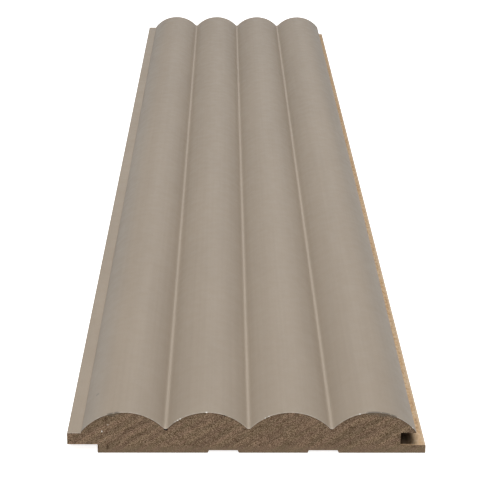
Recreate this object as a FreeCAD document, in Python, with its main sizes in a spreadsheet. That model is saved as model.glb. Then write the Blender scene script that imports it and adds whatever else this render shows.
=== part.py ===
import FreeCAD, Part
import os
import Sketcher

# Tongue-and-groove wall panel of MDF, one machined piece, lying on its back with the fluted face up.
# X runs across the board from the tongue to the groove, Y along its length, Z through its thickness.
# The origin is on the back face, under the middle of the board's footprint. All sizes are millimetres.

SHEET = "Sizes"
PANEL = "panel"

# A sketch counts the places on a line or an arc from 1. Its own origin is the start of line -1.
START, END, MIDDLE = range(1, 4)
ORIGIN = -1

NEAR = 0.01           # two places closer than this are the same one
LEAST_CHANGE = 1.0    # every feature adds or removes more than this, in cubic millimetres

# Driving dimensions. Heights are measured up from the back face.
SIZES = {
    # the board
    "board_length": 700.0,
    "board_thickness": 16.0,      # back face to the crest of a flute
    "core_thickness": 9.0,        # back face to the line where two neighbouring flutes would meet
    # the flutes, round ribs side by side over the whole face
    "flute_count": 4,
    "flute_pitch": 30.0,          # crest to crest
    "edge_margin": 0.5,           # each outer flute runs this far past half a pitch
    "valley_radius": 1.1,         # the cutter's rounding at the bottom between two flutes
    # the tongue, a strip that stands out past the first flute
    "tongue_reach": 5.1,
    "tongue_thickness": 4.5,
    "strip_step": 0.55,           # drop from the foot of the first flute to the tongue's top
    "arris_radius": 0.3,          # softened edges of the tongue and of the lip
    # the groove and its lower lip
    "lip_reach": 3.6,             # how far the lip runs out past the last flute
    "fit_clearance": 0.15,        # between tongue and groove, on each face of the tongue
    "tongue_end_gap": 0.5,        # between the tongue's end and the bottom of the groove
    "lip_end_gap": 2.25,          # between the lip's end and the next board's shoulder
    # the two shallow relief channels in the back
    "relief_count": 2,
    "relief_spacing": 36.2,       # centre to centre
    "relief_width": 11.2,         # at the mouth
    "relief_flare": 0.4,          # each side wall leans in by this much at the floor
    "relief_depth": 1.0,
    "relief_shift": 8.9,          # middle of the pair, from the middle of the face towards the groove
}


def cell(name):
    """Name one sheet cell inside an expression."""
    return f"{SHEET}.{name}"


# Worked-out sizes, as expressions over the sheet.
# The face is the covered width: all the flutes, without the tongue and without the lip.
FLUTE_DEPTH = f"({cell('board_thickness')} - {cell('core_thickness')})"
FLUTE_RADIUS = f"((({cell('flute_pitch')} / 2)^2 + {FLUTE_DEPTH}^2) / (2 * {FLUTE_DEPTH}))"
FLUTE_EDGE = f"({cell('flute_pitch')} / 2 + {cell('edge_margin')})"
FACE_WIDTH = f"({cell('flute_count')} * {cell('flute_pitch')} + 2 * {cell('edge_margin')})"
FOOT_HEIGHT = f"({cell('board_thickness')} - {FLUTE_RADIUS} + sqrt({FLUTE_RADIUS}^2 - {FLUTE_EDGE}^2))"

# The valley's rounding touches the two flutes beside it. Its centre is as far from theirs as both radii.
VALLEY_ACROSS = f"({cell('tongue_reach')} + {FLUTE_EDGE} + {cell('flute_pitch')} / 2)"
VALLEY_REACH = f"({FLUTE_RADIUS} + {cell('valley_radius')})"
VALLEY_RISE = f"sqrt({VALLEY_REACH}^2 - ({cell('flute_pitch')} / 2)^2)"
VALLEY_CENTRE = f"({cell('board_thickness')} - {FLUTE_RADIUS} + {VALLEY_RISE})"
VALLEY_HALF = f"({cell('flute_pitch')} / 2 * {cell('valley_radius')} / {VALLEY_REACH})"

# The tongue hangs from the foot of the first flute, and the groove is the tongue and its clearance.
TONGUE_TOP = f"({FOOT_HEIGHT} - {cell('strip_step')})"
TONGUE_UNDER = f"({TONGUE_TOP} - {cell('tongue_thickness')})"
GROOVE_CEILING = f"({TONGUE_TOP} + {cell('fit_clearance')})"
LIP_TOP = f"({TONGUE_UNDER} - {cell('fit_clearance')})"

# Places across the board, from the tongue's end.
FIRST_CREST = f"({cell('tongue_reach')} + {FLUTE_EDGE})"
NOSE = f"({cell('tongue_reach')} + {FACE_WIDTH})"
BOARD_WIDTH = f"({NOSE} + {cell('lip_reach')})"
GROOVE_BOTTOM = f"({NOSE} - {cell('tongue_reach')} - {cell('tongue_end_gap')})"
SHOULDER = f"({cell('tongue_reach')} + {cell('lip_reach')} + {cell('lip_end_gap')})"
RELIEF_SPAN = f"(({cell('relief_count')} - 1) * {cell('relief_spacing')} + {cell('relief_width')})"
RELIEF_START = f"({cell('tongue_reach')} + {FACE_WIDTH} / 2 + {cell('relief_shift')} - {RELIEF_SPAN} / 2)"


def fill_sheet(doc):
    """Write the driving dimensions into the document's sheet."""
    sheet = doc.addObject("Spreadsheet::Sheet", SHEET)
    for row, (name, size) in enumerate(SIZES.items(), start=1):
        sheet.set(f"A{row}", name)
        sheet.set(f"B{row}", str(size))
        sheet.setAlias(f"B{row}", name)
    doc.recompute()
    return sheet


def origin_feature(body, role):
    """Find one plane or axis of the body's own origin."""
    for feature in body.Origin.OriginFeatures:
        if feature.Role == role:
            return feature
    raise LookupError(role)


def section_sketch(body, name):
    """Start a sketch in the cross-section plane, with X across the board and Y up."""
    sketch = body.newObject("Sketcher::SketchObject", name)
    sketch.AttachmentSupport = [(origin_feature(body, "XZ_Plane"), "")]
    sketch.MapMode = "FlatFace"
    return sketch


def bind(sketch, constraint, label, expression):
    """Add one dimension to the sketch, named and driven by an expression over the sheet."""
    index = sketch.addConstraint(constraint)
    sketch.renameConstraint(index, label)
    sketch.setExpression(f"Constraints.{label}", expression)


def place_across(sketch, line, end, label, across):
    """Fix one end of a line by its distance from the tongue's end."""
    size = sketch.evalExpression(across)
    rule = Sketcher.Constraint("DistanceX", ORIGIN, START, line, end, size)
    bind(sketch, rule, label + "_across", across)


def place_up(sketch, line, end, label, up):
    """Fix one end of a line by its height above the back."""
    size = sketch.evalExpression(up)
    rule = Sketcher.Constraint("DistanceY", ORIGIN, START, line, end, size)
    bind(sketch, rule, label + "_up", up)


def place_point(sketch, line, end, label, across, up):
    """Fix one end of a line, or the middle of an arc, in both directions."""
    place_across(sketch, line, end, label, across)
    place_up(sketch, line, end, label, up)


def polygon(sketch, corners):
    """Draw a closed outline through named corners, each given as expressions across and up."""
    places = []
    for _, across, up in corners:
        places.append(FreeCAD.Vector(sketch.evalExpression(across), sketch.evalExpression(up), 0))
    lines = []
    for here, there in zip(places, places[1:] + places[:1]):
        lines.append(sketch.addGeometry(Part.LineSegment(here, there)))
    for line, following in zip(lines, lines[1:] + lines[:1]):
        sketch.addConstraint(Sketcher.Constraint("Coincident", line, END, following, START))
    for line, (label, across, up) in zip(lines, corners):
        place_point(sketch, line, START, label, across, up)


def rectangle(sketch, left, right, bottom, top):
    """Draw an upright rectangle between four expressions."""
    corners = [
        ("bottom_left", left, bottom),
        ("bottom_right", right, bottom),
        ("top_right", right, top),
        ("top_left", left, top),
    ]
    polygon(sketch, corners)


def pad_along(body, sketch, name):
    """Extrude a section to the board's length, half each way from the middle."""
    pad = body.newObject("PartDesign::Pad", name)
    pad.Profile = sketch
    pad.SideType = "Symmetric"
    pad.setExpression("Length", cell("board_length"))
    return pad


def pocket_along(body, sketch, name):
    """Cut a section out of the board from end to end."""
    pocket = body.newObject("PartDesign::Pocket", name)
    pocket.Profile = sketch
    pocket.SideType = "Symmetric"
    pocket.Type = "Length"
    pocket.setExpression("Length", cell("board_length"))
    return pocket


def repeat_across(body, feature, name, spacing, count):
    """Repeat one feature across the board."""
    pattern = body.newObject("PartDesign::LinearPattern", name)
    pattern.Originals = [feature]
    pattern.Direction = (origin_feature(body, "X_Axis"), [""])
    pattern.Mode = "Spacing"
    pattern.setExpression("Offset", spacing)
    pattern.setExpression("Occurrences", count)
    body.Tip = pattern
    return pattern


def edges_along(shape, places):
    """Name the edges that run along the board through the given places of the section."""
    found = []
    for number, edge in enumerate(shape.Edges, start=1):
        first = edge.Vertexes[0].Point
        last = edge.Vertexes[-1].Point
        if abs(first.x - last.x) > NEAR or abs(first.z - last.z) > NEAR:
            continue
        if any(abs(first.x - across) < NEAR and abs(first.z - up) < NEAR for across, up in places):
            found.append(f"Edge{number}")
    return found


def round_edges(body, base, name, places, radius):
    """Round the long edges at the given places of the section."""
    edges = edges_along(base.Shape, places)
    if len(edges) != len(places):
        raise RuntimeError(f"{name}: {len(edges)} edges found for {len(places)} places")
    fillet = body.newObject("PartDesign::Fillet", name)
    fillet.Base = (base, edges)
    fillet.setExpression("Radius", radius)
    body.Tip = fillet
    return fillet


def flute_section(sketch):
    """Draw the first flute: a round rib between two upright sides that stand in the board."""
    size = sketch.evalExpression
    crest = size(FIRST_CREST)
    thickness = size(cell("board_thickness"))
    radius = size(FLUTE_RADIUS)
    half = size(FLUTE_EDGE)
    base = size(TONGUE_UNDER)
    foot = size(FOOT_HEIGHT)
    centre = FreeCAD.Vector(crest, thickness - radius, 0)
    left_foot = FreeCAD.Vector(crest - half, foot, 0)
    right_foot = FreeCAD.Vector(crest + half, foot, 0)
    top = FreeCAD.Vector(crest, thickness, 0)
    left_base = FreeCAD.Vector(crest - half, base, 0)
    right_base = FreeCAD.Vector(crest + half, base, 0)

    arc = sketch.addGeometry(Part.Arc(right_foot, top, left_foot))
    left_side = sketch.addGeometry(Part.LineSegment(left_foot, left_base))
    bottom = sketch.addGeometry(Part.LineSegment(left_base, right_base))
    right_side = sketch.addGeometry(Part.LineSegment(right_base, right_foot))
    height = sketch.addGeometry(Part.LineSegment(centre, top), True)

    sketch.addConstraint(Sketcher.Constraint("Coincident", arc, END, left_side, START))
    sketch.addConstraint(Sketcher.Constraint("Coincident", left_side, END, bottom, START))
    sketch.addConstraint(Sketcher.Constraint("Coincident", bottom, END, right_side, START))
    sketch.addConstraint(Sketcher.Constraint("Coincident", right_side, END, arc, START))
    sketch.addConstraint(Sketcher.Constraint("Coincident", height, START, arc, MIDDLE))
    sketch.addConstraint(Sketcher.Constraint("PointOnObject", height, END, arc))
    sketch.addConstraint(Sketcher.Constraint("Vertical", left_side))
    sketch.addConstraint(Sketcher.Constraint("Vertical", right_side))
    sketch.addConstraint(Sketcher.Constraint("Vertical", height))
    place_point(sketch, height, END, "crest", FIRST_CREST, cell("board_thickness"))
    place_point(sketch, bottom, START, "left_base", cell("tongue_reach"), TONGUE_UNDER)
    right_across = f"({cell('tongue_reach')} + 2 * {FLUTE_EDGE})"
    place_point(sketch, bottom, END, "right_base", right_across, TONGUE_UNDER)
    bind(sketch, Sketcher.Constraint("Radius", arc, radius), "radius", FLUTE_RADIUS)


def valley_section(sketch):
    """Draw the filling of the first valley, whose round top runs smoothly into both flutes."""
    size = sketch.evalExpression
    across = size(VALLEY_ACROSS)
    half = size(VALLEY_HALF)
    radius = size(cell("valley_radius"))
    centre_up = size(VALLEY_CENTRE)
    rise = (radius ** 2 - half ** 2) ** 0.5
    left_end = FreeCAD.Vector(across - half, centre_up - rise, 0)
    lowest = FreeCAD.Vector(across, centre_up - radius, 0)
    right_end = FreeCAD.Vector(across + half, centre_up - rise, 0)
    root = FreeCAD.Vector(across, size(TONGUE_UNDER), 0)

    arc = sketch.addGeometry(Part.Arc(left_end, lowest, right_end))
    right_side = sketch.addGeometry(Part.LineSegment(right_end, root))
    left_side = sketch.addGeometry(Part.LineSegment(root, left_end))
    sketch.addConstraint(Sketcher.Constraint("Coincident", arc, END, right_side, START))
    sketch.addConstraint(Sketcher.Constraint("Coincident", right_side, END, left_side, START))
    sketch.addConstraint(Sketcher.Constraint("Coincident", left_side, END, arc, START))
    place_point(sketch, arc, MIDDLE, "centre", VALLEY_ACROSS, VALLEY_CENTRE)
    place_point(sketch, left_side, START, "root", VALLEY_ACROSS, TONGUE_UNDER)
    place_across(sketch, arc, START, "left_end", f"({VALLEY_ACROSS} - {VALLEY_HALF})")
    place_across(sketch, arc, END, "right_end", f"({VALLEY_ACROSS} + {VALLEY_HALF})")
    bind(sketch, Sketcher.Constraint("Radius", arc, radius), "radius", cell("valley_radius"))


def relief_section(sketch):
    """Draw the first relief channel, its side walls leaning in towards the floor."""
    left, right = RELIEF_START, f"({RELIEF_START} + {cell('relief_width')})"
    flare = cell("relief_flare")
    corners = [
        ("mouth_left", left, "0"),
        ("mouth_right", right, "0"),
        ("floor_right", f"({right} - {flare})", cell("relief_depth")),
        ("floor_left", f"({left} + {flare})", cell("relief_depth")),
    ]
    polygon(sketch, corners)


def make_panel(doc, sheet):
    """Build the board: stock, flutes, shoulder under the tongue, groove and relief channels."""
    body = doc.addObject("PartDesign::Body", PANEL)
    body.Label = PANEL
    size = sheet.evalExpression

    stock_sketch = section_sketch(body, "StockSection")
    rectangle(stock_sketch, "0", BOARD_WIDTH, "0", TONGUE_TOP)
    pad_along(body, stock_sketch, "Stock")

    flute_sketch = section_sketch(body, "FluteSection")
    flute_section(flute_sketch)
    flute = pad_along(body, flute_sketch, "Flute")
    doc.recompute()
    repeat_across(body, flute, "Flutes", cell("flute_pitch"), cell("flute_count"))
    doc.recompute()

    valley_sketch = section_sketch(body, "ValleySection")
    valley_section(valley_sketch)
    valley = pad_along(body, valley_sketch, "Valley")
    doc.recompute()
    repeat_across(body, valley, "Valleys", cell("flute_pitch"), f"{cell('flute_count')} - 1")
    doc.recompute()

    shoulder_sketch = section_sketch(body, "ShoulderSection")
    rectangle(shoulder_sketch, "0", SHOULDER, "0", TONGUE_UNDER)
    pocket_along(body, shoulder_sketch, "Shoulder")

    groove_sketch = section_sketch(body, "GrooveSection")
    rectangle(groove_sketch, GROOVE_BOTTOM, BOARD_WIDTH, LIP_TOP, GROOVE_CEILING)
    groove = pocket_along(body, groove_sketch, "Groove")
    doc.recompute()

    arrises = [
        (0.0, size(TONGUE_TOP)),
        (0.0, size(TONGUE_UNDER)),
        (size(SHOULDER), 0.0),
        (size(BOARD_WIDTH), size(LIP_TOP)),
        (size(BOARD_WIDTH), 0.0),
    ]
    round_edges(body, groove, "Arrises", arrises, cell("arris_radius"))

    relief_sketch = section_sketch(body, "ReliefSection")
    relief_section(relief_sketch)
    relief = pocket_along(body, relief_sketch, "Relief")
    doc.recompute()
    repeat_across(body, relief, "Reliefs", cell("relief_spacing"), cell("relief_count"))

    body.setExpression("Placement.Base.x", f"-{BOARD_WIDTH} / 2")
    doc.recompute()
    return body


def check_document(doc, bodies):
    """Stop if an object failed, or if a body holds no valid solid."""
    for item in doc.Objects:
        if "Invalid" in item.State or "Error" in item.State:
            raise RuntimeError(f"{item.Name} failed: {item.State}")
    for body in bodies:
        if body.Shape.isNull() or not body.Shape.isValid():
            raise RuntimeError(f"{body.Label} has no valid shape")
        if len(body.Shape.Solids) != 1:
            raise RuntimeError(f"{body.Label} has {len(body.Shape.Solids)} solids")


def check_cuts(body):
    """Stop if a pad or pocket of the body changed nothing."""
    before = 0.0
    for feature in body.Group:
        if not feature.isDerivedFrom("PartDesign::Feature"):
            continue
        after = feature.Shape.Volume
        if abs(after - before) < LEAST_CHANGE:
            raise RuntimeError(f"{feature.Name} changed nothing")
        print(f"{feature.Name}: {after / 1000:.2f} cm3")
        before = after


def main():
    """Build the document and write one STEP file for each sub-part."""
    doc = FreeCAD.newDocument("WallPanel")
    sheet = fill_sheet(doc)
    bodies = [make_panel(doc, sheet)]
    check_document(doc, bodies)
    os.makedirs("parts", exist_ok=True)
    for body in bodies:
        check_cuts(body)
        body.Shape.exportStep(f"parts/{body.Label}.step")
        box = body.Shape.BoundBox
        print(f"{body.Label}: {box.XLength:.2f} x {box.YLength:.2f} x {box.ZLength:.2f} mm")


main()
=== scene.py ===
"""Dress the tongue-and-groove wall panel: painted flutes, machined edges and sawn ends of MDF."""

from __future__ import annotations

import itertools
import logging
import math
import random
from dataclasses import dataclass, field
from enum import Enum

import bmesh
import bpy
from mathutils import Matrix, Vector, noise
from mathutils.geometry import delaunay_2d_cdt


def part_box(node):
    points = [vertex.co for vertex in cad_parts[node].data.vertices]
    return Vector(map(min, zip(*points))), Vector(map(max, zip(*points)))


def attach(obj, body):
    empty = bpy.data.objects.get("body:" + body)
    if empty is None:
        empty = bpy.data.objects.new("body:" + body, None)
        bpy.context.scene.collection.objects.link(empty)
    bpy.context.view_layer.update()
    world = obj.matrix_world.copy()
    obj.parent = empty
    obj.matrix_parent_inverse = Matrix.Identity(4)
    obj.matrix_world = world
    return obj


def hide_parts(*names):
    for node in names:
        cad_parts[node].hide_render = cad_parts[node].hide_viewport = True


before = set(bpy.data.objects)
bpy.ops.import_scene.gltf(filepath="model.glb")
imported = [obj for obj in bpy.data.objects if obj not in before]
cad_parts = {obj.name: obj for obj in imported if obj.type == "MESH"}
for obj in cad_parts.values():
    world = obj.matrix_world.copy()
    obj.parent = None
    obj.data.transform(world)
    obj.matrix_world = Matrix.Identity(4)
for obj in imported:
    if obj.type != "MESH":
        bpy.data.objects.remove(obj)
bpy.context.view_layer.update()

LOG = logging.getLogger("wall_panel")
MM = 0.001
IMAGE_SIDE = 480
SENSOR_MM = 36.0
PANEL = "panel"
BODY = "root"

Colour = tuple[float, float, float]
Point = tuple[float, float, float]
Place = tuple[float, float]
Vert = bmesh.types.BMVert
Socket = bpy.types.NodeSocket
Inputs = dict[str | int, Socket | float | Colour]
Layer = tuple[Socket, float, float, float, Colour]

EVEN: Point = (1.0, 1.0, 1.0)

# The Mix node has a set of sockets for each kind of data. These are its colours' places.
MIX_UNDER, MIX_OVER, MIX_RESULT = 6, 7, 2

# What the triangulation is asked for: only what lies inside the outline, with points this near taken as one.
INSIDE_ONLY = 1
SAME_POINT = 1e-8


class Zone(Enum):
    """The surfaces of the board that are finished differently. The value is the material's place."""

    PAINT = 0
    MACHINED = 1
    BACK = 2
    SAWN = 3


@dataclass(frozen=True)
class Corner:
    """One corner of the section's outline, and the surface that starts there."""

    across: float
    up: float
    zone: Zone
    radius: float = 0.0


@dataclass(frozen=True)
class Section:
    """The board's cross-section in metres, X across from the middle, Z up from the back."""

    width: float
    thickness: float
    core: float = 9.0 * MM
    flute_count: int = 4
    flute_pitch: float = 30.0 * MM
    edge_margin: float = 0.5 * MM
    valley_radius: float = 1.1 * MM
    tongue_reach: float = 5.1 * MM
    tongue_thickness: float = 4.5 * MM
    strip_step: float = 0.55 * MM
    arris: float = 0.3 * MM
    fine_arris: float = 0.1 * MM
    fit_clearance: float = 0.15 * MM
    tongue_end_gap: float = 0.5 * MM
    lip_end_gap: float = 2.25 * MM
    relief_count: int = 2
    relief_spacing: float = 36.2 * MM
    relief_width: float = 11.2 * MM
    relief_flare: float = 0.4 * MM
    relief_depth: float = 1.0 * MM
    relief_shift: float = 8.9 * MM
    face_step: float = 0.6 * MM
    flat_step: float = 0.9 * MM

    @property
    def left(self) -> float:
        """The tongue's end."""
        return -self.width / 2

    @property
    def radius(self) -> float:
        """The radius of a flute, from its width and depth."""
        depth = self.thickness - self.core
        return ((self.flute_pitch / 2) ** 2 + depth**2) / (2 * depth)

    @property
    def flute_half(self) -> float:
        """Half the width of an outer flute at its outer foot."""
        return self.flute_pitch / 2 + self.edge_margin

    @property
    def foot(self) -> float:
        """The height of an outer flute's outer foot."""
        return self.thickness - self.radius + math.sqrt(self.radius**2 - self.flute_half**2)

    @property
    def tongue_top(self) -> float:
        """The height of the strip beside the first flute."""
        return self.foot - self.strip_step

    @property
    def tongue_under(self) -> float:
        """The height of the tongue's lower face."""
        return self.tongue_top - self.tongue_thickness

    @property
    def groove_ceiling(self) -> float:
        """The height of the groove's upper face."""
        return self.tongue_top + self.fit_clearance

    @property
    def lip_top(self) -> float:
        """The height of the lip's upper face."""
        return self.tongue_under - self.fit_clearance

    @property
    def face_left(self) -> float:
        """Where the first flute starts."""
        return self.left + self.tongue_reach

    @property
    def nose(self) -> float:
        """Where the last flute ends."""
        return self.face_left + self.flute_count * self.flute_pitch + 2 * self.edge_margin

    @property
    def lip_reach(self) -> float:
        """How far the lip runs out past the last flute."""
        return self.width / 2 - self.nose

    @property
    def groove_bottom(self) -> float:
        """Where the groove ends inside the board."""
        return self.nose - self.tongue_reach - self.tongue_end_gap

    @property
    def shoulder(self) -> float:
        """The shoulder under the tongue."""
        return self.face_left + self.lip_reach + self.lip_end_gap

    def crest(self, number: int) -> float:
        """Give the place of one flute's crest, counted from the tongue."""
        return self.face_left + self.flute_half + number * self.flute_pitch

    def relief_corners(self) -> list[Corner]:
        """List the corners of the relief channels from left to right.

        Returns:
            Four corners for each channel, with the channel's walls and floor as back surface.
        """
        middle = (self.face_left + self.nose) / 2 + self.relief_shift
        span = (self.relief_count - 1) * self.relief_spacing
        mouth = self.relief_width / 2
        floor = mouth - self.relief_flare
        shape = (
            (-mouth, 0.0, Zone.MACHINED), (-floor, self.relief_depth, Zone.MACHINED),
            (floor, self.relief_depth, Zone.MACHINED), (mouth, 0.0, Zone.BACK),
        )
        corners = []
        for number in range(self.relief_count):
            centre = middle - span / 2 + number * self.relief_spacing
            corners += [Corner(centre + across, up, zone, self.fine_arris) for across, up, zone in shape]
        return corners

    def edge_corners(self) -> tuple[list[Corner], list[Corner]]:
        """List the corners of the two jointed edges.

        Returns:
            The groove's side from the back up to the nose, and the tongue's side from the foot down.
        """
        right = self.width / 2
        groove_side = [
            Corner(right, 0.0, Zone.MACHINED, self.arris),
            Corner(right, self.lip_top, Zone.MACHINED, self.arris),
            Corner(self.groove_bottom, self.lip_top, Zone.MACHINED, self.fine_arris),
            Corner(self.groove_bottom, self.groove_ceiling, Zone.MACHINED, self.fine_arris),
            Corner(self.nose, self.groove_ceiling, Zone.MACHINED),
        ]
        tongue_side = [
            Corner(self.face_left, self.tongue_top, Zone.PAINT, self.fine_arris),
            Corner(self.left, self.tongue_top, Zone.MACHINED, self.arris),
            Corner(self.left, self.tongue_under, Zone.MACHINED, self.arris),
            Corner(self.shoulder, self.tongue_under, Zone.MACHINED, self.fine_arris),
        ]
        return groove_side, tongue_side

    def face_points(self) -> list[Corner]:
        """Trace the painted flutes and valleys from the nose to the foot, right to left.

        Returns:
            The points of the arcs in order, all painted.
        """
        radius, low = self.radius, self.thickness - self.radius
        reach = radius + self.valley_radius
        rise = math.sqrt(reach**2 - (self.flute_pitch / 2) ** 2)
        inner = math.atan2(self.flute_pitch / 2, rise)
        outer = math.asin(self.flute_half / radius)
        points: list[Corner] = []
        for number in reversed(range(self.flute_count)):
            right = outer if number == self.flute_count - 1 else inner
            left = outer if number == 0 else inner
            points += self.arc((self.crest(number), low), radius, right, -left, self.face_step)
            if number > 0:
                centre = (self.crest(number) - self.flute_pitch / 2, low + rise)
                valley = self.arc(centre, -self.valley_radius, -inner, inner, self.face_step / 4)
                points += valley[1:-1]
        return points

    @staticmethod
    def arc(centre: Place, radius: float, start: float, end: float, step: float) -> list[Corner]:
        """Sample an arc by its angle from upright.

        Args:
            centre: The arc's centre, across and up.
            radius: Its radius, negative for an arc that hangs below its centre.
            start: The first angle in radians, positive to the right.
            end: The last angle.
            step: The longest distance between points.

        Returns:
            Painted points from start to end, both included.
        """
        count = max(2, math.ceil(abs(radius * (end - start)) / step))
        points = []
        for number in range(count + 1):
            angle = start + (end - start) * number / count
            across = centre[0] + radius * math.sin(angle)
            up = centre[1] + radius * math.cos(angle)
            points.append(Corner(across, up, Zone.PAINT))
        return points

    def outline(self) -> list[Corner]:
        """Trace the whole section, anticlockwise as seen from the front end.

        Returns:
            Closely spaced points, each with the surface that runs from it to the next.
        """
        groove_side, tongue_side = self.edge_corners()
        start = Corner(self.shoulder, 0.0, Zone.BACK, self.arris)
        corners = [start, *self.relief_corners(), *groove_side]
        corners += [*self.face_points(), *tongue_side]
        rounded: list[Corner] = []
        for number, corner in enumerate(corners):
            after = corners[(number + 1) % len(corners)]
            rounded += self.rounded(corners[number - 1], corner, after)
        return self.divided(rounded)

    @staticmethod
    def rounded(before: Corner, corner: Corner, after: Corner) -> list[Corner]:
        """Replace one corner by a small arc.

        Args:
            before: The corner before it.
            corner: The corner to round, by its own radius.
            after: The corner after it.

        Returns:
            The points of the arc, or the corner itself if it has no radius.
        """
        if corner.radius == 0.0:
            return [corner]
        here = Vector((corner.across, corner.up))
        back = (Vector((before.across, before.up)) - here).normalized()
        ahead = (Vector((after.across, after.up)) - here).normalized()
        half = back.angle(ahead) / 2
        leg = min(corner.radius / math.tan(half), corner.radius * 2)
        count = 3
        points = []
        for number in range(count + 1):
            share = number / count
            place = here + back * leg * (1 - share) ** 2 + ahead * leg * share**2
            zone = before.zone if number < count / 2 else corner.zone
            points.append(Corner(place.x, place.y, zone))
        return points

    def divided(self, points: list[Corner]) -> list[Corner]:
        """Split the long straight runs of an outline.

        Args:
            points: The outline's points.

        Returns:
            The same outline with no run longer than the flat step.
        """
        result = []
        for number, point in enumerate(points):
            following = points[(number + 1) % len(points)]
            run = math.hypot(following.across - point.across, following.up - point.up)
            count = max(1, math.ceil(run / self.flat_step))
            for part in range(count):
                share = part / count
                across = point.across + (following.across - point.across) * share
                up = point.up + (following.up - point.up) * share
                result.append(Corner(across, up, point.zone))
        return result


@dataclass(frozen=True)
class Spot:
    """One small mark on the front end, by its middle and its half sizes in millimetres."""

    across: float
    up: float
    half_width: float
    half_height: float


@dataclass(frozen=True)
class FrontMarks:
    """The marks that the saw and the handling left round the front end, with painted shadows in small gaps.
    """

    chips: tuple[Spot, ...] = (
        Spot(-26.1, 12.45, 0.40, 0.30), Spot(-25.2, 12.95, 0.45, 0.30), Spot(-24.2, 13.50, 0.45, 0.30),
        Spot(-14.5, 16.1, 0.35, 0.30), Spot(60.1, 10.1, 0.40, 0.35), Spot(6.4, 13.75, 0.40, 0.13),
        Spot(7.8, 14.45, 0.45, 0.13), Spot(40.5, 15.40, 0.35, 0.14),
    )
    # Black spots painted as the shadow inside small gaps at the paint's edge; the mesh has no hole there.
    void_shadows: tuple[Spot, ...] = (
        Spot(-29.1, 9.25, 0.70, 0.42), Spot(-7.8, 14.75, 0.45, 0.28),
    )
    specks: tuple[Spot, ...] = (
        Spot(-52.2, 8.55, 0.25, 0.28), Spot(-50.0, 11.15, 0.15, 0.15), Spot(-51.2, 5.20, 0.13, 0.13),
    )
    smudges: tuple[Spot, ...] = (
        Spot(-50.8, 13.50, 0.70, 0.75), Spot(-50.3, 2.40, 0.45, 1.20), Spot(38.1, 10.15, 1.60, 0.40),
        Spot(-52.9, 0.10, 0.70, 0.30), Spot(-53.6, 2.20, 0.30, 1.00),
    )
    smears: tuple[Spot, ...] = (
        Spot(-48.6, 15.05, 1.60, 0.60), Spot(-46.6, 15.60, 1.20, 0.45), Spot(44.2, 15.60, 1.20, 0.50),
        Spot(46.0, 15.75, 2.00, 0.65), Spot(49.4, 15.20, 2.40, 0.80), Spot(52.6, 14.50, 1.60, 0.60),
    )
    grit: tuple[tuple[Point, float, float], ...] = (
        ((-55.34 * MM, -326.70 * MM, 12.54 * MM), 1.1 * MM, 0.55),
    )


def feed(source: Socket | float | Colour, target: Socket) -> None:
    """Feed an input from another node or with a constant.

    Args:
        source: A socket, a number or a colour.
        target: The input to set.
    """
    if isinstance(source, Socket):
        target.id_data.links.new(source, target)
    elif isinstance(source, tuple):
        target.default_value = (*source, 1.0) if len(target.default_value) == 4 else source
    else:
        target.default_value = source


def add_node(tree: bpy.types.NodeTree, kind: str, inputs: Inputs, **settings: str) -> bpy.types.Node:
    """Add one shader node.

    Args:
        tree: The node tree to add to.
        kind: Its type, without the start that all of them share.
        inputs: What feeds its inputs, by their names or places.
        settings: Its own settings.

    Returns:
        The node.
    """
    node = tree.nodes.new("ShaderNode" + kind)
    for name, value in settings.items():
        setattr(node, name, value)
    for name, source in inputs.items():
        feed(source, node.inputs[name])
    return node


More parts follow.
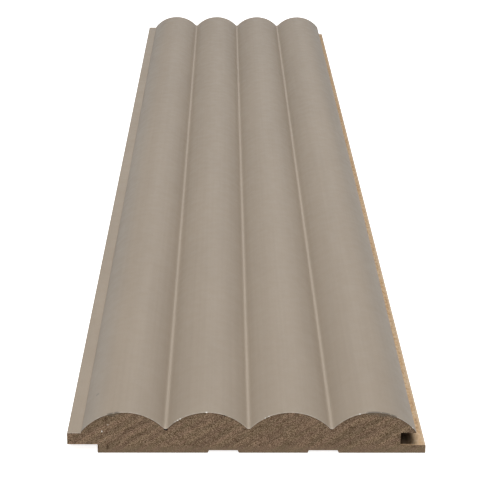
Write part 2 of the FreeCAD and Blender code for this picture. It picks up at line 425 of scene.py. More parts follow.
class Recipe:
    """A node material whose base colour is built up one step at a time."""

    def __init__(self, name: str, colour: Colour) -> None:
        """Start a material with an empty shader.

        Args:
            name: The material's name.
            colour: The base colour to begin with.
        """
        self.material = bpy.data.materials.new(name)
        self.material.use_nodes = True
        self.tree = self.material.node_tree
        self.tree.nodes.clear()
        self.shader = self.node("BsdfPrincipled", {})
        self.node("OutputMaterial", {"Surface": self.shader.outputs["BSDF"]})
        self.place = self.node("TexCoord", {}).outputs["Object"]
        self.across, self.along, self.up = self.node("SeparateXYZ", {"Vector": self.place}).outputs
        self.tint: Socket | Colour = colour

    def node(self, kind: str, inputs: Inputs, **settings: str) -> bpy.types.Node:
        """Add one node to the material, as add_node does."""
        return add_node(self.tree, kind, inputs, **settings)

    def maths(self, kind: str, *values: Socket | float) -> Socket:
        """Add one Math node.

        Args:
            kind: The node's operation.
            values: Its inputs, as sockets or numbers.

        Returns:
            The result's socket.
        """
        return self.node("Math", dict(enumerate(values)), operation=kind).outputs["Value"]

    def grain(self, stretch: Point, size: float, detail: float = 3.0, rough: float = 0.55,
              turn: float = 0.0) -> Socket:
        """Add noise whose grains have a real size.

        Args:
            stretch: How many times longer the grains are along each axis.
            size: The size of a grain in metres.
            detail: The noise's octaves.
            rough: The weight of its fine octaves.
            turn: A turn about the board's length, in radians, before the stretch.

        Returns:
            The noise's value from 0 to 1, mostly near the middle.
        """
        turned = self.node("Mapping", {"Vector": self.place, "Rotation": (0.0, turn, 0.0)})
        scale = tuple(1.0 / (size * part) for part in stretch)
        scaled = self.node("Mapping", {"Vector": turned.outputs["Vector"], "Scale": scale})
        inputs = {"Vector": scaled.outputs["Vector"], "Scale": 1.0, "Detail": detail, "Roughness": rough}
        return self.node("TexNoise", inputs).outputs["Fac"]

    def ease(self, value: Socket, low: float, high: float, start: float = 0.0, end: float = 1.0) -> Socket:
        """Map a range smoothly to another.

        Args:
            value: The value to map.
            low: Where the change begins.
            high: Where it ends.
            start: The result at low and before.
            end: The result at high and beyond.

        Returns:
            The mapped value's socket.
        """
        inputs = {"Value": value, "From Min": low, "From Max": high, "To Min": start, "To Max": end}
        return self.node("MapRange", inputs, interpolation_type="SMOOTHSTEP").outputs["Result"]

    def cover(self, share: Socket | float, other: Socket | Colour, strength: Socket | float = 1.0,
              mode: str = "MIX") -> None:
        """Lay a colour over the base colour.

        Args:
            share: Where it lies, from 0 to 1.
            other: The colour on top.
            strength: How much it covers where it lies.
            mode: The blend mode.
        """
        if strength != 1.0:
            share = self.maths("MULTIPLY", share, strength)
        inputs = {"Factor": share, MIX_UNDER: self.tint, MIX_OVER: other}
        self.tint = self.node("Mix", inputs, data_type="RGBA", blend_type=mode).outputs[MIX_RESULT]

    def lay(self, layers: tuple[Layer, ...], strength: Socket | float = 1.0) -> None:
        """Lay colours over the base colour where noises are high or low.

        Args:
            layers: For each one, its noise, where it begins and is full, its most and its colour.
            strength: How much all of them cover.
        """
        for source, start, full, most, colour in layers:
            self.cover(self.ease(source, start, full, 0.0, most), colour, strength)

    def shade(self, source: Socket, low: float, high: float, start: float, end: float,
              share: Socket | float = 1.0) -> None:
        """Lighten and darken the base colour by a factor.

        Args:
            source: What the factor follows.
            low: Where the change begins.
            high: Where it ends.
            start: The factor at low and before.
            end: The factor at high and beyond.
            share: How much of the change is used.
        """
        factor = self.ease(source, low, high, start, end)
        neutral = self.node("CombineColor", {"Red": factor, "Green": factor, "Blue": factor})
        self.cover(share, neutral.outputs["Color"], mode="MULTIPLY")

    def from_end(self, length: float) -> Socket:
        """Measure how far a point is from the nearer end of a board of this length."""
        return self.maths("SUBTRACT", length / 2, self.maths("ABSOLUTE", self.along))

    def spots(self, spots: tuple[Spot, ...]) -> Socket:
        """Mark small ragged spots near the front end.

        Args:
            spots: The spots, by their places on the section.

        Returns:
            1 inside the spots and 0 outside.
        """
        ragged = self.ease(self.grain(EVEN, 0.5 * MM, 2.0), 0.3, 0.7, -0.35, 0.35)
        result: Socket | float = 0.0
        for spot in spots:
            wide, high = spot.half_width * MM, spot.half_height * MM
            placed = self.node("Mapping", {
                "Vector": self.place,
                "Location": (-spot.across * MM / wide, 0.0, -spot.up * MM / high),
                "Scale": (1.0 / wide, 0.0, 1.0 / high),
            })
            away = self.node("VectorMath", {0: placed.outputs["Vector"]}, operation="LENGTH")
            reach = self.maths("ADD", away.outputs["Value"], ragged)
            result = self.maths("MAXIMUM", result, self.ease(reach, 1.15, 0.75))
        return self.maths("MULTIPLY", result, self.maths("LESS_THAN", self.along, 0.0))

    def relief(self, height: Socket, depth: float, under: Socket | None = None) -> Socket:
        """Add bump from a height that runs from 0 to 1.

        Args:
            height: The height's socket.
            depth: The real height of 1, in metres.
            under: The normal of a coarser bump below it.

        Returns:
            The bumped normal.
        """
        inputs = {"Distance": depth, "Height": height}
        if under is not None:
            inputs["Normal"] = under
        return self.node("Bump", inputs).outputs["Normal"]

    def finish(self, rough: Socket, normal: Socket, gloss: float) -> bpy.types.Material:
        """Connect the shader's inputs.

        Args:
            rough: The roughness.
            normal: The bumped normal.
            gloss: The specular level.

        Returns:
            The finished material.
        """
        inputs = {"Base Color": self.tint, "Roughness": rough, "Normal": normal, "Specular IOR Level": gloss}
        for name, source in inputs.items():
            feed(source, self.shader.inputs[name])
        return self.material


@dataclass(frozen=True)
class SatinPaint:
    """The factory paint of the face: smooth, satin, a little uneven, with painted shade and highlights, pale
    at the sawn arris.
    """

    section: Section
    length: float
    marks: FrontMarks
    colour: Colour = (0.337, 0.278, 0.217)
    flank_shade_grey: Colour = (0.304, 0.266, 0.223)
    pale: Colour = (0.52, 0.46, 0.385)
    chip: Colour = (0.86, 0.84, 0.78)
    smear: Colour = (0.120, 0.100, 0.075)
    speck: Colour = (0.200, 0.185, 0.165)
    valley: Colour = (0.361, 0.301, 0.238)
    flank_width: float = 11 * MM
    arris_width: float = 0.60 * MM
    smear_reach: float = 1.1 * MM
    chip_reach: float = 0.7 * MM
    peel_depth: float = 0.009 * MM
    streak_depth: float = 0.006 * MM
    gloss: float = 0.1

    def material(self) -> bpy.types.Material:
        """Build the paint.

        Returns:
            The finished material.
        """
        recipe = Recipe("satin_paint", self.colour)
        streaks = recipe.grain((1.0, 160.0, 1.0), 1.2 * MM)
        self.tone(recipe)
        self.mottle(recipe, streaks)
        self.wear(recipe)
        rough = recipe.ease(recipe.grain(EVEN, 5 * MM, 2.0), 0.2, 0.8, 0.46, 0.58)
        peel = recipe.relief(recipe.grain(EVEN, 1.6 * MM, 2.0), self.peel_depth)
        return recipe.finish(rough, recipe.relief(streaks, self.streak_depth, peel), self.gloss)

    def tone(self, recipe: Recipe) -> None:
        """Paint shade on the outer flanks of the face, and paint highlights in its valleys and at its nose.

        Args:
            recipe: The paint so far.
        """
        foot, nose, pitch = self.section.face_left, self.section.nose, self.section.flute_pitch
        face = recipe.maths("GREATER_THAN", recipe.across, foot + 0.2 * MM)
        left = recipe.ease(recipe.across, foot + self.flank_width, foot + 2 * MM)
        right = recipe.ease(recipe.across, nose - self.flank_width, nose - 2 * MM)
        # Painted shade: the outer flanks are greyed and darkened, as if they got less light.
        flanks = recipe.maths("MAXIMUM", recipe.maths("MULTIPLY", left, face), right)
        recipe.cover(flanks, self.flank_shade_grey, 0.65)
        # Painted highlight: the valleys between the inner flutes are lightened.
        offset = recipe.maths("SUBTRACT", recipe.across, self.section.crest(0) + pitch / 2)
        beside = recipe.maths("PINGPONG", offset, pitch / 2)
        valleys = recipe.maths("MULTIPLY", recipe.ease(beside, 1.6 * MM, 0.6 * MM), face)
        inner = recipe.maths("LESS_THAN", recipe.maths("ABSOLUTE", recipe.across), pitch * 1.5)
        recipe.cover(valleys, self.valley, inner)
        # Painted highlight: a light band along the nose.
        nose_highlight = recipe.ease(recipe.across, nose - 3.2 * MM, nose - 0.4 * MM)
        recipe.cover(nose_highlight, self.valley, 0.25)

    def mottle(self, recipe: Recipe, streaks: Socket) -> None:
        """Vary the paint by broad patches, by streaks along the board and by fine mottle.

        Args:
            recipe: The paint so far.
            streaks: The streaks' noise.
        """
        patches = recipe.grain((1.0, 4.0, 1.0), 22 * MM, 2.0)
        fine = recipe.grain((1.0, 1.6, 1.0), 0.9 * MM, 2.0)
        for source, least, most in ((patches, 0.972, 1.024), (streaks, 0.980, 1.020), (fine, 0.986, 1.014)):
            recipe.shade(source, 0.25, 0.75, least, most)

    def wear(self, recipe: Recipe) -> None:
        """Add the pale sawn arris, partly the paint's edge and partly a painted highlight, and the marks
        beside it.

        Args:
            recipe: The paint so far.
        """
        end = recipe.from_end(self.length)
        ragged = recipe.ease(recipe.grain(EVEN, 1.3 * MM), 0.3, 0.7, 0.1, 1.6)
        # Partly the paint's worn edge and partly a painted highlight where the arris catches light.
        worn_edge_and_highlight = recipe.maths("LESS_THAN", recipe.maths("DIVIDE", end, self.arris_width), ragged)
        recipe.cover(worn_edge_and_highlight, self.pale, 0.42)
        dirty = recipe.maths("LESS_THAN", end, self.smear_reach)
        smears = recipe.maths("MULTIPLY", recipe.spots(self.marks.smears), dirty)
        recipe.cover(smears, self.smear, 0.85)
        close = recipe.maths("LESS_THAN", end, self.chip_reach)
        recipe.cover(recipe.spots(self.marks.chips), self.chip, close)
        for place, reach, strength in self.marks.grit:
            away = recipe.node("VectorMath", {0: recipe.place, 1: place}, operation="DISTANCE")
            inside = recipe.ease(away.outputs["Value"], reach, reach * 0.6)
            recipe.cover(inside, self.speck, strength)


@dataclass(frozen=True)
class SawnFibre:
    """The sawn end: torn fibre in browns, with saw marks, pale flecks and a few marks of its own."""

    marks: FrontMarks
    colour: Colour = (0.227, 0.163, 0.091)
    dark: Colour = (0.082, 0.049, 0.028)
    pale: Colour = (0.47, 0.335, 0.218)
    red: Colour = (0.272, 0.160, 0.112)
    white: Colour = (0.95, 0.93, 0.88)
    smear: Colour = (0.150, 0.128, 0.098)
    void_shadow_black: Colour = (0.012, 0.010, 0.008)
    pressed: Colour = (0.275, 0.205, 0.135)
    skin: float = 3.5 * MM
    saw_pitch: float = 3.4 * MM
    saw_drift: float = 16.0
    saw_angle: float = math.radians(33)
    fibre_angle: float = math.radians(18)
    stroke_depth: float = 0.05 * MM
    fibre_depth: float = 0.10 * MM
    gloss: float = 0.1

    def material(self) -> bpy.types.Material:
        """Build the sawn fibre.

        Returns:
            The finished material.
        """
        recipe = Recipe("sawn_fibre", self.colour)
        strokes = recipe.grain((6.0, 1.0, 1.0), 0.50 * MM, 0.5, 0.5, self.saw_angle)
        fibres = recipe.grain((2.2, 1.0, 1.0), 0.22 * MM, 0.5, 0.5, self.fibre_angle)
        core = recipe.ease(recipe.up, self.skin * 0.4, self.skin, 0.5, 1.0)
        self.fibre(recipe, strokes, fibres, core)
        self.saw_marks(recipe, core)
        self.edges(recipe)
        torn = recipe.relief(strokes, self.stroke_depth)
        rough = recipe.ease(fibres, 0.2, 0.8, 0.95, 0.8)
        return recipe.finish(rough, recipe.relief(fibres, self.fibre_depth, torn), self.gloss)

    def fibre(self, recipe: Recipe, strokes: Socket, fibres: Socket, core: Socket) -> None:
        """Mix the browns of the fibre.

        Args:
            recipe: The fibre so far.
            strokes: The noise of the torn strokes.
            fibres: The noise of the single fibres.
            core: How coarse the fibre is, less near the back.
        """
        clumps = recipe.grain(EVEN, 3.4 * MM)
        recipe.cover(recipe.ease(clumps, 0.35, 0.75), self.dark, 0.12)
        ruddy = recipe.grain((7.0, 1.0, 1.0), 2.0 * MM, 1.0, 0.5, self.saw_angle)
        recipe.cover(recipe.ease(ruddy, 0.42, 0.58), self.red)
        grains = recipe.grain(EVEN, 0.18 * MM, 0.5)
        layers = (
            (strokes, 0.50, 0.64, 0.40, self.dark), (strokes, 0.50, 0.36, 0.24, self.pale),
            (fibres, 0.52, 0.64, 0.90, self.pale), (fibres, 0.49, 0.38, 0.92, self.dark),
            (grains, 0.53, 0.64, 0.88, self.pale), (grains, 0.48, 0.38, 0.90, self.dark),
        )
        recipe.lay(layers, core)

    def saw_marks(self, recipe: Recipe, core: Socket) -> None:
        """Shade the end by broad bands and by even saw marks.

        Args:
            recipe: The fibre so far.
            core: How strong they are, less near the back.
        """
        bands = recipe.grain((14.0, 1.0, 1.0), 1.75 * MM, 0.0, 0.5, self.saw_angle)
        rise = recipe.maths("MULTIPLY", recipe.up, math.cos(self.saw_angle))
        run = recipe.maths("MULTIPLY", recipe.across, -math.sin(self.saw_angle))
        turns = recipe.maths("MULTIPLY", recipe.maths("ADD", rise, run), 2 * math.pi / self.saw_pitch)
        drift = recipe.maths("MULTIPLY", recipe.grain(EVEN, 14 * MM, 1.0), self.saw_drift)
        marks = recipe.maths("SINE", recipe.maths("ADD", turns, drift))
        recipe.shade(bands, 0.38, 0.60, 1.085, 0.89, core)
        recipe.shade(marks, -1.0, 1.0, 1.065, 0.93, core)

    def edges(self, recipe: Recipe) -> None:
        """Lighten the end near the back, darken it along the painted rim, and place the marks.

        Args:
            recipe: The fibre so far.
        """
        recipe.cover(recipe.ease(recipe.up, self.skin, self.skin * 0.3), self.pressed, 0.5)
        rim_darkening = recipe.ease(recipe.grain(EVEN, 2.5 * MM, 2.0), 0.42, 0.62, 0.25, 0.7)
        rim = recipe.node("Attribute", {}, attribute_name="rim").outputs["Fac"]
        # The end is darker within a fraction of a millimetre of the painted outline.
        recipe.cover(recipe.ease(rim, 0.6 * MM, 0.1 * MM), self.dark, rim_darkening)
        for spots, colour, strength in (
            (self.marks.smears, self.smear, 0.60),
            (self.marks.smudges, self.dark, 0.70),
            (self.marks.chips, self.white, 1.0),
            (self.marks.specks, self.white, 1.0),
            # Painted shadow: black spots for small gaps.
            (self.marks.void_shadows, self.void_shadow_black, 1.0),
        ):
            recipe.cover(recipe.spots(spots), colour, strength)


@dataclass(frozen=True)
class MachinedFibre:
    """The moulded edges: tan fibre with cutter lines along the board, painted shade inside the groove and a
    painted highlight on the lip's brim.
    """

    section: Section
    length: float
    colour: Colour = (0.552, 0.363, 0.205)
    light: Colour = (0.64, 0.525, 0.38)
    dark: Colour = (0.26, 0.160, 0.09)
    groove_shade_colour: Colour = (0.060, 0.038, 0.022)
    overspray: Colour = (0.40, 0.345, 0.285)
    cut_depth: float = 0.05 * MM
    fuzz_depth: float = 0.08 * MM
    gloss: float = 0.05

    def material(self) -> bpy.types.Material:
        """Build the machined fibre.

        Returns:
            The finished material.
        """
        recipe = Recipe("machined_fibre", self.colour)
        lines = recipe.grain((1.0, 90.0, 1.0), 0.5 * MM, 3.0, 0.6)
        fibres = recipe.grain((1.0, 2.5, 1.0), 0.5 * MM, 3.0, 0.7)
        patches = recipe.grain((1.0, 5.0, 1.0), 4 * MM)
        blots = recipe.grain((1.0, 2.2, 1.0), 1.0 * MM, 2.0)
        layers = (
            (patches, 0.35, 0.70, 0.35, self.light), (blots, 0.50, 0.68, 0.55, self.light),
            (blots, 0.50, 0.32, 0.45, self.dark), (lines, 0.50, 0.25, 0.35, self.dark),
            (fibres, 0.50, 0.20, 0.60, self.dark), (fibres, 0.55, 0.80, 0.60, self.light),
        )
        recipe.lay(layers)
        self.groove_shade(recipe)
        self.edges(recipe)
        cut = recipe.relief(lines, self.cut_depth)
        rough = recipe.ease(fibres, 0.2, 0.8, 0.9, 0.72)
        return recipe.finish(rough, recipe.relief(fibres, self.fuzz_depth, cut), self.gloss)

    def groove_shade(self, recipe: Recipe) -> None:
        """Paint shade inside the groove, less of it on the lip beside a sawn end.

        Args:
            recipe: The fibre so far.
        """
        bottom, lip_top = self.section.groove_bottom, self.section.lip_top
        inside = recipe.ease(recipe.across, self.section.nose + 1.6 * MM, bottom + 2.4 * MM)
        right = recipe.maths("GREATER_THAN", recipe.across, bottom - 0.3 * MM)
        above = recipe.maths("GREATER_THAN", recipe.up, lip_top - 0.2 * MM)
        groove_shade = recipe.maths("MULTIPLY", inside, recipe.maths("MULTIPLY", right, above))
        ceiling = recipe.maths("GREATER_THAN", recipe.up, lip_top + 0.3 * MM)
        faded = recipe.ease(recipe.from_end(self.length), 0.5 * MM, 1.5 * MM, 0.25, 1.0)
        groove_shade_share = recipe.maths("MAXIMUM", faded, ceiling)
        # Painted shade in the groove, lighter near the sawn end where the lip's front is lit.
        recipe.cover(recipe.maths("MULTIPLY", groove_shade, groove_shade_share), self.groove_shade_colour, 0.89)

    def edges(self, recipe: Recipe) -> None:
        """Paint a highlight on the lip's brim, and let a little paint run over the tongue's end.

        Args:
            recipe: The fibre so far.
        """
        lip_end = self.section.width / 2
        # Painted highlight along the lip's outer edge.
        brim_highlight = recipe.ease(recipe.across, lip_end - 1.1 * MM, lip_end - 0.3 * MM)
        recipe.cover(brim_highlight, self.light, 0.65)
        left = recipe.maths("LESS_THAN", recipe.across, self.section.left + 0.5 * MM)
        drift = recipe.ease(recipe.grain((1.0, 3.0, 1.0), 2.5 * MM), 0.3, 0.7, 0.1 * MM, 1.6 * MM)
        below = recipe.maths("SUBTRACT", self.section.tongue_top, recipe.up)
        wet = recipe.ease(recipe.maths("SUBTRACT", drift, below), 0.0, 0.5 * MM)
        recipe.cover(recipe.maths("MULTIPLY", left, wet), self.overspray, 0.85)


@dataclass(frozen=True)
class PressedBack:
    """The raw back: the sanded skin of the board, dense and even, with flecks and fine sanding lines."""

    colour: Colour = (0.36, 0.255, 0.165)
    dark: Colour = (0.20, 0.13, 0.08)
    light: Colour = (0.50, 0.39, 0.28)
    sanding_depth: float = 0.012 * MM
    fleck_depth: float = 0.03 * MM
    gloss: float = 0.35

    def material(self) -> bpy.types.Material:
        """Build the back's skin.

        Returns:
            The finished material.
        """
        recipe = Recipe("pressed_back", self.colour)
        clouds = recipe.grain((1.0, 1.5, 1.0), 26 * MM)
        flecks = recipe.grain(EVEN, 1.1 * MM, 3.0, 0.7)
        lines = recipe.grain((1.0, 220.0, 1.0), 0.6 * MM, 2.0)
        layers = (
            (clouds, 0.30, 0.70, 0.30, self.light), (flecks, 0.55, 0.80, 0.55, self.light),
            (flecks, 0.45, 0.20, 0.60, self.dark), (lines, 0.45, 0.20, 0.25, self.dark),
        )
        recipe.lay(layers)
        sanded = recipe.relief(lines, self.sanding_depth)
        rough = recipe.ease(flecks, 0.2, 0.8, 0.62, 0.78)
        return recipe.finish(rough, recipe.relief(flecks, self.fleck_depth, sanded), self.gloss)


@dataclass
class Board:
    """The board itself: its section drawn out along the length, with sawn and torn ends."""

    section: Section
    length: float
    end_steps: tuple[float, ...] = (0.0, 0.1 * MM, 0.25 * MM, 0.6 * MM, 1.4 * MM, 3 * MM, 6 * MM, 12 * MM)
    span_step: float = 10 * MM
    arris_inset: float = 0.04 * MM
    fill_step: float = 0.62 * MM
    fill_clear: float = 0.3 * MM
    fill_jitter: float = 0.25
    wear_scale: float = 700.0
    tear_scale: float = 900.0
    tear_depth: float = 0.09 * MM
    mark_share: float = 0.35
    saw_pitch: float = 2.3 * MM
    saw_slope: float = math.radians(33)
    crease: float = math.radians(28)
    seed: int = 7
    outline: list[Corner] = field(init=False)
    painted: list[Corner] = field(init=False)

    def __post_init__(self) -> None:
        """Trace the section once, and pick out its painted points."""
        self.outline = self.section.outline()
        self.painted = [point for point in self.outline if point.zone is Zone.PAINT]

    def stations(self) -> list[float]:
        """List the places along the board where the section is repeated.

        Returns:
            Distances from the middle, close together near both ends.
        """
        half = self.length / 2
        inner = half - self.end_steps[-1]
        count = math.ceil(2 * inner / self.span_step)
        middle = [-inner + 2 * inner * number / count for number in range(1, count)]
        front = [-half + step for step in self.end_steps]
        rear = [half - step for step in reversed(self.end_steps)]
        return front + middle + rear

    def inward(self) -> list[Vector]:
        """Find the direction into the board at each point of the outline.

        Returns:
            Unit vectors across and up.
        """
        directions = []
        for number, point in enumerate(self.outline):
            before = self.outline[number - 1]
            after = self.outline[(number + 1) % len(self.outline)]
            run = Vector((after.across - before.across, after.up - before.up)).normalized()
            directions.append(Vector((-run.y, run.x)))
        return directions

    def rim_distance(self, across: float, up: float) -> float:
        """Measure how far a point of the end is from the painted outline."""
        return min(math.hypot(point.across - across, point.up - up) for point in self.painted)

    def tear(self, across: float, up: float, end: float) -> float:
        """Give the depth of saw marks and torn fibre at a point of an end.

        Args:
            across: The point's place across the board.
            up: Its height.
            end: The end's place along the board, which makes both ends differ.

        Returns:
            A depth in metres, from 0 to the tear depth.
        """
        run = up * math.cos(self.saw_slope) - across * math.sin(self.saw_slope)
        mark = 0.5 + 0.5 * math.sin(2 * math.pi * run / self.saw_pitch)
        spot = Vector((across, end, up))
        torn = 0.5 + 0.5 * noise.fractal(spot * self.tear_scale, 1.0, 2.0, 3)
        share = self.mark_share * mark + (1.0 - self.mark_share) * torn
        return self.tear_depth * min(1.0, max(0.0, share))

    def fill_points(self, ring: list[Vector]) -> list[Vector]:
        """Spread points over an end, clear of its outline.

        Args:
            ring: The end's outline, across and up.

        Returns:
            Points inside the outline, a little uneven.
        """
        chance = random.Random(self.seed)
        cells: dict[tuple[int, int], list[Vector]] = {}
        size = self.fill_step
        least, most = 0.5 - self.fill_jitter, 0.5 + self.fill_jitter
        for point in ring:
            cells.setdefault((int(point.x // size), int(point.y // size)), []).append(point)
        points = []
        rows = math.ceil(self.section.thickness / size)
        columns = math.ceil(self.section.width / size)
        for row in range(rows):
            for column in range(columns):
                spot = Vector((
                    self.section.left + (column + chance.uniform(least, most)) * size,
                    (row + chance.uniform(least, most)) * size,
                ))
                if self.is_clear(spot, cells):
                    points.append(spot)
        return points

    def is_clear(self, spot: Vector, cells: dict[tuple[int, int], list[Vector]]) -> bool:
        """Tell whether a spot is far enough from the outline.

        Args:
            spot: The spot, across and up.
            cells: The outline's points by their cells.

        Returns:
            True if none of the points in the cells around it is too near.
        """
        column, row = int(spot.x // self.fill_step), int(spot.y // self.fill_step)
        around = itertools.product((column - 1, column, column + 1), (row - 1, row, row + 1))
        points = (point for cell in around for point in cells.get(cell, ()))
        return all((point - spot).length >= self.fill_clear for point in points)

    def build(self) -> bpy.types.Object:
        """Build the whole board as one closed mesh.

        Returns:
            The board, with one material place for each zone.
        """
        mesh = bmesh.new()
        rim = mesh.verts.layers.float.new("rim")
        rings = self.add_rings(mesh)
        self.add_sides(mesh, rings)
        self.add_end(mesh, rings[0], -self.length / 2, rim)
        self.add_end(mesh, rings[-1], self.length / 2, rim)
        mesh.normal_update()
        for edge in mesh.edges:
            edge.smooth = edge.calc_face_angle(0.0) < self.crease
        data = bpy.data.meshes.new("board")
        mesh.to_mesh(data)
        mesh.free()
        board = bpy.data.objects.new("board", data)
        bpy.context.scene.collection.objects.link(board)
        return board

    def add_rings(self, mesh: bmesh.types.BMesh) -> list[list[Vert]]:
        """Repeat the outline at every station, drawn in a little at the two sawn arrises.

        Args:
            mesh: The mesh to add to.

        Returns:
            One ring of points for each station.
        """
        directions = self.inward()
        rings = []
        stations = self.stations()
        for place in stations:
            at_end = place in (stations[0], stations[-1])
            ring = []
            for point, direction in zip(self.outline, directions):
                spot = Vector((point.across, place, point.up))
                wear = 0.5 + 0.5 * noise.noise(spot * self.wear_scale)
                inset = self.arris_inset * (0.5 + wear) if at_end else 0.0
                across = point.across + direction.x * inset
                up = point.up + direction.y * inset
                ring.append(mesh.verts.new((across, place, up)))
            rings.append(ring)
        return rings

    def add_sides(self, mesh: bmesh.types.BMesh, rings: list[list[Vert]]) -> None:
        """Join the rings by faces, each with its surface's material.

        Args:
            mesh: The mesh to add to.
            rings: The rings from the front end to the rear.
        """
        count = len(self.outline)
        for near, far in zip(rings, rings[1:]):
            for number in range(count):
                following = (number + 1) % count
                face = mesh.faces.new((near[number], far[number], far[following], near[following]))
                face.material_index = self.outline[number].zone.value
                face.smooth = True

    def add_end(self, mesh: bmesh.types.BMesh, ring: list[Vert], place: float,
                rim: bmesh.types.BMLayerItem) -> None:
        """Close one end with a finely divided sawn face.

        Args:
            mesh: The mesh to add to.
            ring: The end's ring of points.
            place: The end's place along the board.
            rim: The layer that holds each point's distance from the painted outline.
        """
        count = len(ring)
        outline = [Vector((vert.co.x, vert.co.z)) for vert in ring]
        inner = self.fill_points(outline)
        edges = [(number, (number + 1) % count) for number in range(count)]
        flat, _, triangles, origins, _, _ = delaunay_2d_cdt(
            outline + inner, edges, [], INSIDE_ONLY, SAME_POINT)
        verts: dict[int, Vert] = {}
        inside = math.copysign(1.0, -place)
        for number in {corner for corners in triangles for corner in corners}:
            spot, sources = flat[number], origins[number]
            if sources and sources[0] < count:
                verts[number] = ring[sources[0]]
                continue
            depth = self.tear(spot.x, spot.y, place)
            verts[number] = mesh.verts.new((spot.x, place + inside * depth, spot.y))
            verts[number][rim] = self.rim_distance(spot.x, spot.y)
        for corners in triangles:
            chosen = [verts[corner] for corner in corners]
            if place > 0:
                chosen.reverse()
            face = mesh.faces.new(chosen)
            face.material_index = Zone.SAWN.value
            face.smooth = True


@dataclass(frozen=True)
class Lamp:
    """A soft square lamp: its place, power in watts, the point it faces and the length of its side."""

    name: str
    place: Point
    power: float
    aim: Point = (0.0, 0.0, 0.0)
    size: float = 1.0

    def build(self) -> None:
        """Hang the lamp in the scene."""
        data = bpy.data.lights.new(self.name, "AREA")
        data.shape = "SQUARE"
        data.size = self.size
        data.energy = self.power
        lamp = bpy.data.objects.new(self.name, data)
        lamp.location = self.place
        lamp.rotation_euler = (Vector(self.aim) - Vector(self.place)).to_track_quat("-Z", "Y").to_euler()
        bpy.context.scene.collection.objects.link(lamp)


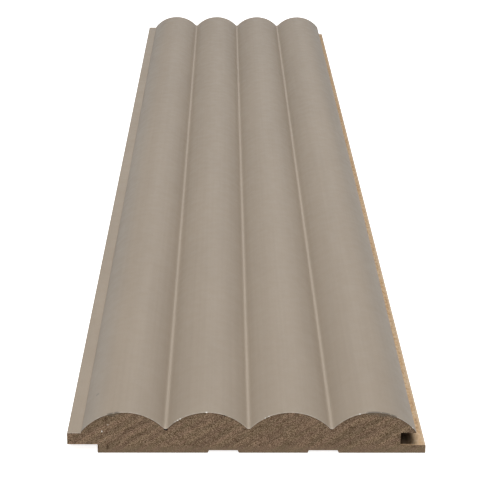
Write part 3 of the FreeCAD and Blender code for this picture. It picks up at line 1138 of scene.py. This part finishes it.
@dataclass(frozen=True)
class Studio:
    """The plain studio: a pale floor, soft lamps and a camera at the photograph's viewing angle."""

    focal_pixels: float = 1690.6
    pitch: float = math.radians(19.124)
    yaw: float = math.radians(0.544)
    roll: float = math.radians(0.266)
    camera_place: Point = (-8.00 * MM, -903.24 * MM, 273.46 * MM)
    near_clip: float = 0.01
    floor_half: float = 12.0
    floor_drop: float = 0.02 * MM
    floor_colour: Colour = (0.8, 0.8, 0.8)
    floor_glow: float = 0.87
    world_strength: float = 0.05
    lamps: tuple[Lamp, ...] = (
        Lamp("overhead", (0.0, -0.4, 1.8), 23.6, (0.0, -0.4, 0.0)),
        Lamp("front", (0.0, -1.6, 1.3), 10.0),
        Lamp("rear", (0.25, 2.2, 1.3), 7.2),
        Lamp("left", (-1.5, 0.0, 1.2), 1.7),
    )

    def camera(self) -> None:
        """Set the camera by its place and its three turns."""
        heading = Matrix.Rotation(-self.yaw, 4, "Z")
        tilt = Matrix.Rotation(math.pi / 2 - self.pitch, 4, "X")
        lean = Matrix.Rotation(self.roll, 4, "Z")
        data = bpy.data.cameras.new("camera")
        data.sensor_width = SENSOR_MM
        data.lens = self.focal_pixels / IMAGE_SIDE * SENSOR_MM
        data.clip_start = self.near_clip
        camera = bpy.data.objects.new("camera", data)
        camera.matrix_world = Matrix.Translation(Vector(self.camera_place)) @ heading @ tilt @ lean
        bpy.context.scene.collection.objects.link(camera)
        bpy.context.scene.camera = camera

    def world(self) -> None:
        """Light the scene evenly, and show plain white to the camera and in reflections."""
        world = bpy.data.worlds.new("studio")
        bpy.context.scene.world = world
        world.use_nodes = True
        tree = world.node_tree
        background = tree.nodes["Background"]
        background.inputs["Color"].default_value = (1.0, 1.0, 1.0, 1.0)
        feed(self.seen_light(tree, self.world_strength, 1.0), background.inputs["Strength"])

    @staticmethod
    def seen_light(tree: bpy.types.NodeTree, hidden: float, seen: float) -> Socket:
        """Give a strength that differs between what is looked at and what only lights the board.

        Args:
            tree: The node tree to add to.
            hidden: The strength for all other rays.
            seen: The strength for the camera, in reflections and through glass.

        Returns:
            The strength's socket.
        """
        path = add_node(tree, "LightPath", {}).outputs
        looked_at = path["Is Camera Ray"]
        for name in ("Is Glossy Ray", "Is Transmission Ray"):
            either = add_node(tree, "Math", {0: looked_at, 1: path[name]}, operation="MAXIMUM")
            looked_at = either.outputs["Value"]
        choice = add_node(tree, "MapRange", {"Value": looked_at, "To Min": hidden, "To Max": seen})
        return choice.outputs["Result"]

    def floor(self) -> None:
        """Lay a wide pale floor that shows white with the board's own soft shadow."""
        mesh = bmesh.new()
        bmesh.ops.create_grid(mesh, x_segments=8, y_segments=8, size=self.floor_half)
        data = bpy.data.meshes.new("floor")
        mesh.to_mesh(data)
        mesh.free()
        floor = bpy.data.objects.new("floor", data)
        floor.location.z = -self.floor_drop
        bpy.context.scene.collection.objects.link(floor)
        data.materials.append(self.floor_material())

    def floor_material(self) -> bpy.types.Material:
        """Build the floor's finish.

        Returns:
            A matt pale surface that adds a little light of its own where it is looked at.
        """
        material = bpy.data.materials.new("pale_floor")
        material.use_nodes = True
        tree = material.node_tree
        tree.nodes.clear()
        matt = add_node(tree, "BsdfDiffuse", {"Color": self.floor_colour})
        glow = add_node(tree, "Emission", {"Strength": self.seen_light(tree, 0.0, self.floor_glow)})
        both = add_node(tree, "AddShader", {0: matt.outputs["BSDF"], 1: glow.outputs["Emission"]})
        add_node(tree, "OutputMaterial", {"Surface": both.outputs["Shader"]})
        return material

    def build(self) -> None:
        """Set up the camera, the lamps, the world and the floor."""
        bpy.context.scene.view_settings.view_transform = "Standard"
        self.camera()
        self.world()
        self.floor()
        for lamp in self.lamps:
            lamp.build()


def dress(board: bpy.types.Object, section: Section, length: float) -> None:
    """Give the board its finishes and put it in the place of the plain solid.

    Args:
        board: The board's mesh object.
        section: Its cross-section.
        length: Its length.
    """
    finishes = {
        Zone.PAINT: SatinPaint(section, length, FrontMarks()).material(),
        Zone.MACHINED: MachinedFibre(section, length).material(),
        Zone.BACK: PressedBack().material(),
        Zone.SAWN: SawnFibre(FrontMarks()).material(),
    }
    for zone in Zone:
        board.data.materials.append(finishes[zone])
    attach(board, BODY)
    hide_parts(PANEL)


def main() -> None:
    """Build the board and its studio in order."""
    logging.basicConfig(level=logging.INFO, format="%(message)s")
    Studio().build()
    lowest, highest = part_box(PANEL)
    extent = highest - lowest
    section = Section(width=extent.x, thickness=extent.z)
    board = Board(section, extent.y).build()
    dress(board, section, extent.y)
    LOG.info("%s: %d points, %d faces", board.name, len(board.data.vertices), len(board.data.polygons))


if __name__ == "__main__":
    main()
